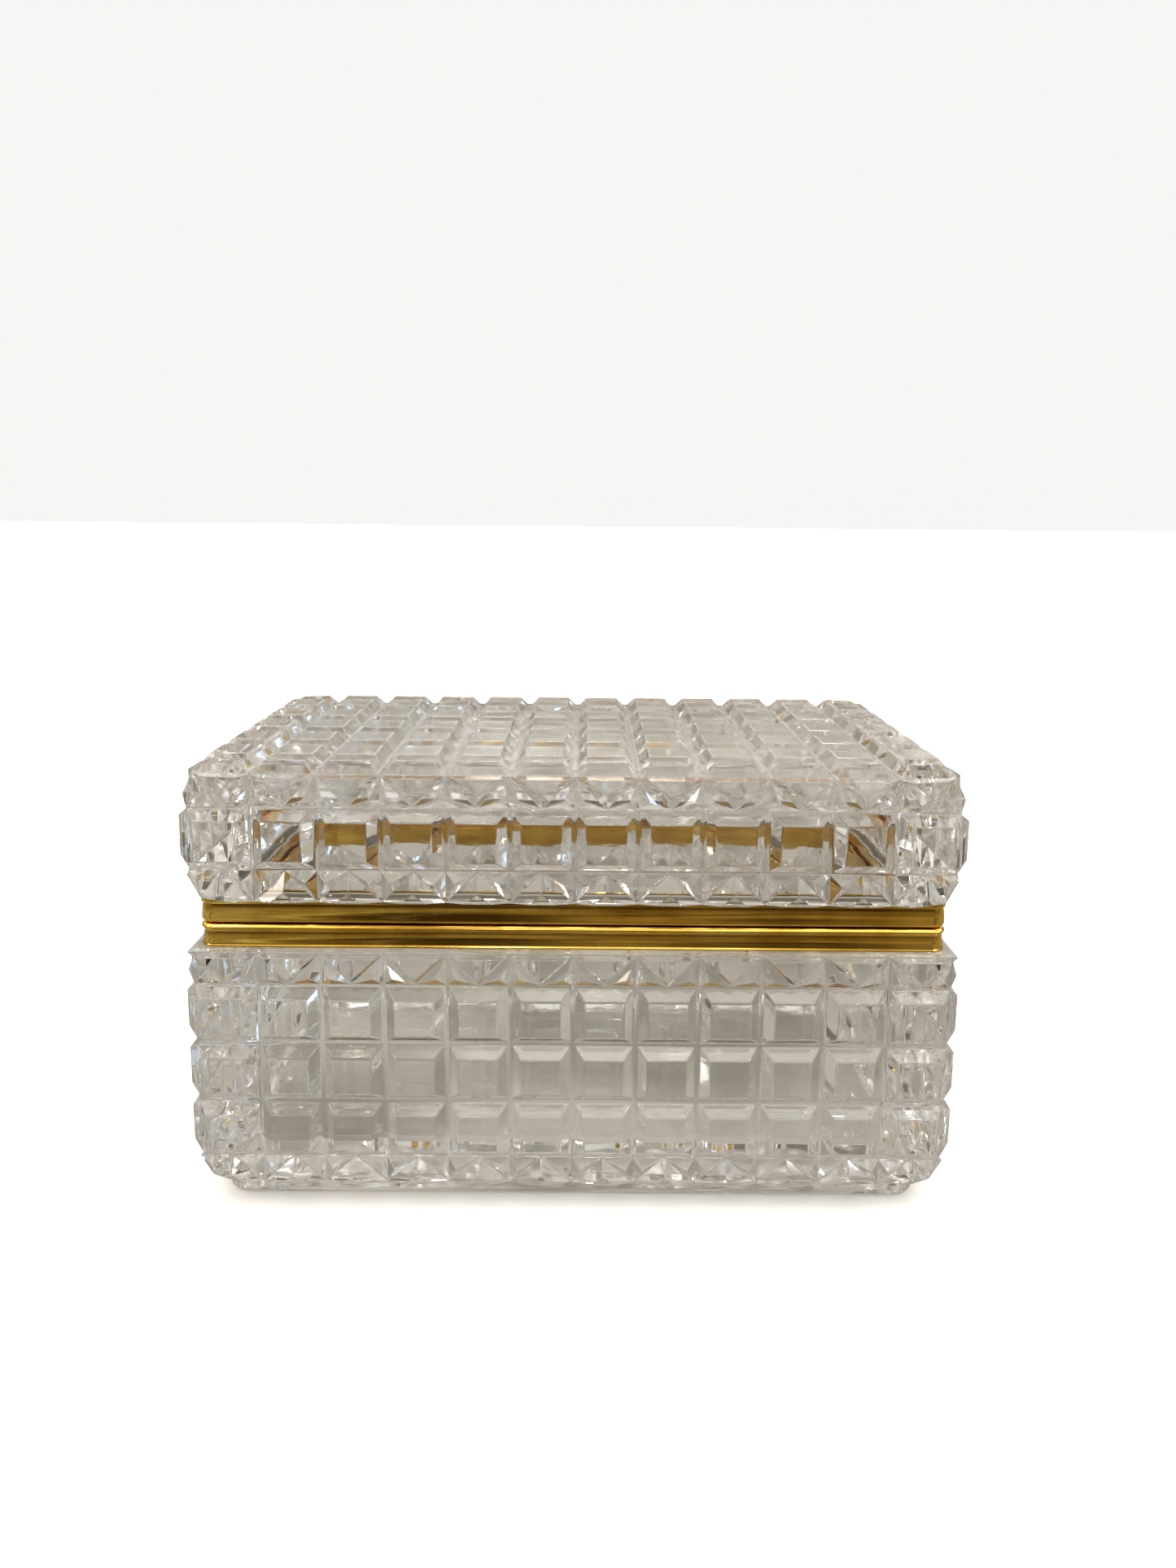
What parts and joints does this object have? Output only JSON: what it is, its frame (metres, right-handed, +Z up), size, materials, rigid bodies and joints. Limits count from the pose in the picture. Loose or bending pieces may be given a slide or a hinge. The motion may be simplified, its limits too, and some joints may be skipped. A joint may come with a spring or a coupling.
{
  "type": "crystal casket",
  "caption": "Rectangular cut-crystal casket with a hinged crystal lid, square block and triangle cutting, and gilt brass rim bands.",
  "frame": {"origin": "on the table, under the middle of the casket's outer box", "axes": "+X runs across the front to the right, +Y runs from the front to the hinge at the back, +Z is up"},
  "size_m": [0.198, 0.0996, 0.119],
  "materials": {
    "crystal": "pressed and fire-polished colourless crystal",
    "gilt_brass": "polished gilt",
    "pin_brass": "drawn and polished",
    "plaster": "matt"
  },
  "bodies": {
    "base": {"base_glass": "crystal", "base_band": "gilt_brass", "base_bedding": "plaster", "locating_rim": "gilt_brass", "base_hinge_leaf": "gilt_brass", "hinge_pin": "pin_brass"},
    "lid": {"lid_glass": "crystal", "lid_band": "gilt_brass", "lid_bedding": "plaster", "lid_hinge_leaf": "gilt_brass"}
  },
  "joints": [
    {"name": "lid_hinge", "type": "hinge", "parent": "base", "child": "lid", "pos_m": [0, 0.0479, 0.0768], "axis": [-1, 0, 0], "range_deg": [0, 100]}
  ]
}
